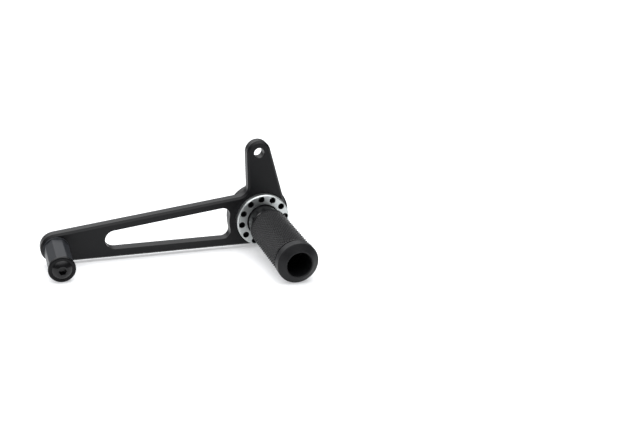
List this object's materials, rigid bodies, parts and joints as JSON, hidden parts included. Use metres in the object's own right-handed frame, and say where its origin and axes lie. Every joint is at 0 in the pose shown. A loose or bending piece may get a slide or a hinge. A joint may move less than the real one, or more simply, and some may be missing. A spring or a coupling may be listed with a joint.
{
  "type": "foot peg",
  "caption": "Round knurled motorcycle foot peg on a flanged spindle, with a slotted foot lever that pivots on ball bearings round its base, a linkage ear and an eight-sided toe peg.",
  "frame": {"origin": "on the peg's and pivot's axis, in the mounting face at the back of the flange", "axes": "-Y along the peg, outward to the rider's foot; -X along the lever's arm to the toe peg; +Z from the pivot to the linkage ear"},
  "size_m": [0.1911, 0.1205, 0.0875],
  "materials": {
    "black_anodised": "fine bead-blasted black anodising, satin",
    "knurled_black": "black anodised diamond knurl",
    "cap_black": "satin black turned plastic",
    "clear_anodised": "clear anodised, fine turning lines",
    "grey_anodised": "dark grey anodised, semi-gloss",
    "collar_black": "black anodised, semi-gloss",
    "bearing_steel": "ground bearing steel",
    "black_steel": "black oxide high-tensile steel",
    "zinc_steel": "zinc plated spring steel",
    "stainless_steel": "dark polished stainless steel",
    "bronze": "oil-filled sintered bronze",
    "cage_brass": "pressed brass",
    "seal_rubber": "moulded nitrile rubber"
  },
  "bodies": {
    "peg_mount": {"flanged_spindle": "black_anodised", "locating_pin": "bearing_steel", "thrust_washer": "bronze", "rear_bearing_inner_race": "bearing_steel", "front_bearing_inner_race": "bearing_steel", "front_dust_seal": "seal_rubber", "peg_body": "knurled_black", "end_cap": "cap_black", "cap_o_ring": "seal_rubber", "bolt_lock_washer": "zinc_steel", "mounting_bolt": "black_steel"},
    "lever": {"lever_plate": "black_anodised", "bearing_retaining_ring": "clear_anodised", "rear_bearing_outer_race": "bearing_steel", "front_bearing_outer_race": "bearing_steel", "rear_bearing_seals": "seal_rubber", "front_bearing_seals": "seal_rubber", "toe_base_washer": "grey_anodised", "toe_spacer_tube": "bearing_steel", "toe_end_collar": "collar_black", "toe_screw": "stainless_steel"},
    "bearing_balls": {"rear_bearing_balls": "bearing_steel", "rear_bearing_cage": "cage_brass", "front_bearing_balls": "bearing_steel", "front_bearing_cage": "cage_brass"},
    "toe_roller": {"toe_sleeve": "grey_anodised", "toe_inner_bush": "bronze", "toe_outer_bush": "bronze"}
  },
  "joints": [
    {"name": "lever_pivot", "type": "hinge", "parent": "peg_mount", "child": "lever", "pos_m": [0, 0, 0], "axis": [0, 1, 0], "range_deg": [-20, 20]},
    {"name": "bearing_balls_roll", "type": "hinge", "parent": "peg_mount", "child": "bearing_balls", "pos_m": [0, 0, 0], "axis": [0, 1, 0], "range_deg": [-10.8, 10.8]},
    {"name": "toe_roller_spin", "type": "hinge", "parent": "lever", "child": "toe_roller", "pos_m": [-0.1557, 0, 0], "axis": [0, 1, 0], "continuous": true}
  ],
  "couplings": [
    {"joint": "bearing_balls_roll", "follows": "lever_pivot", "ratio": 0.5383}
  ]
}
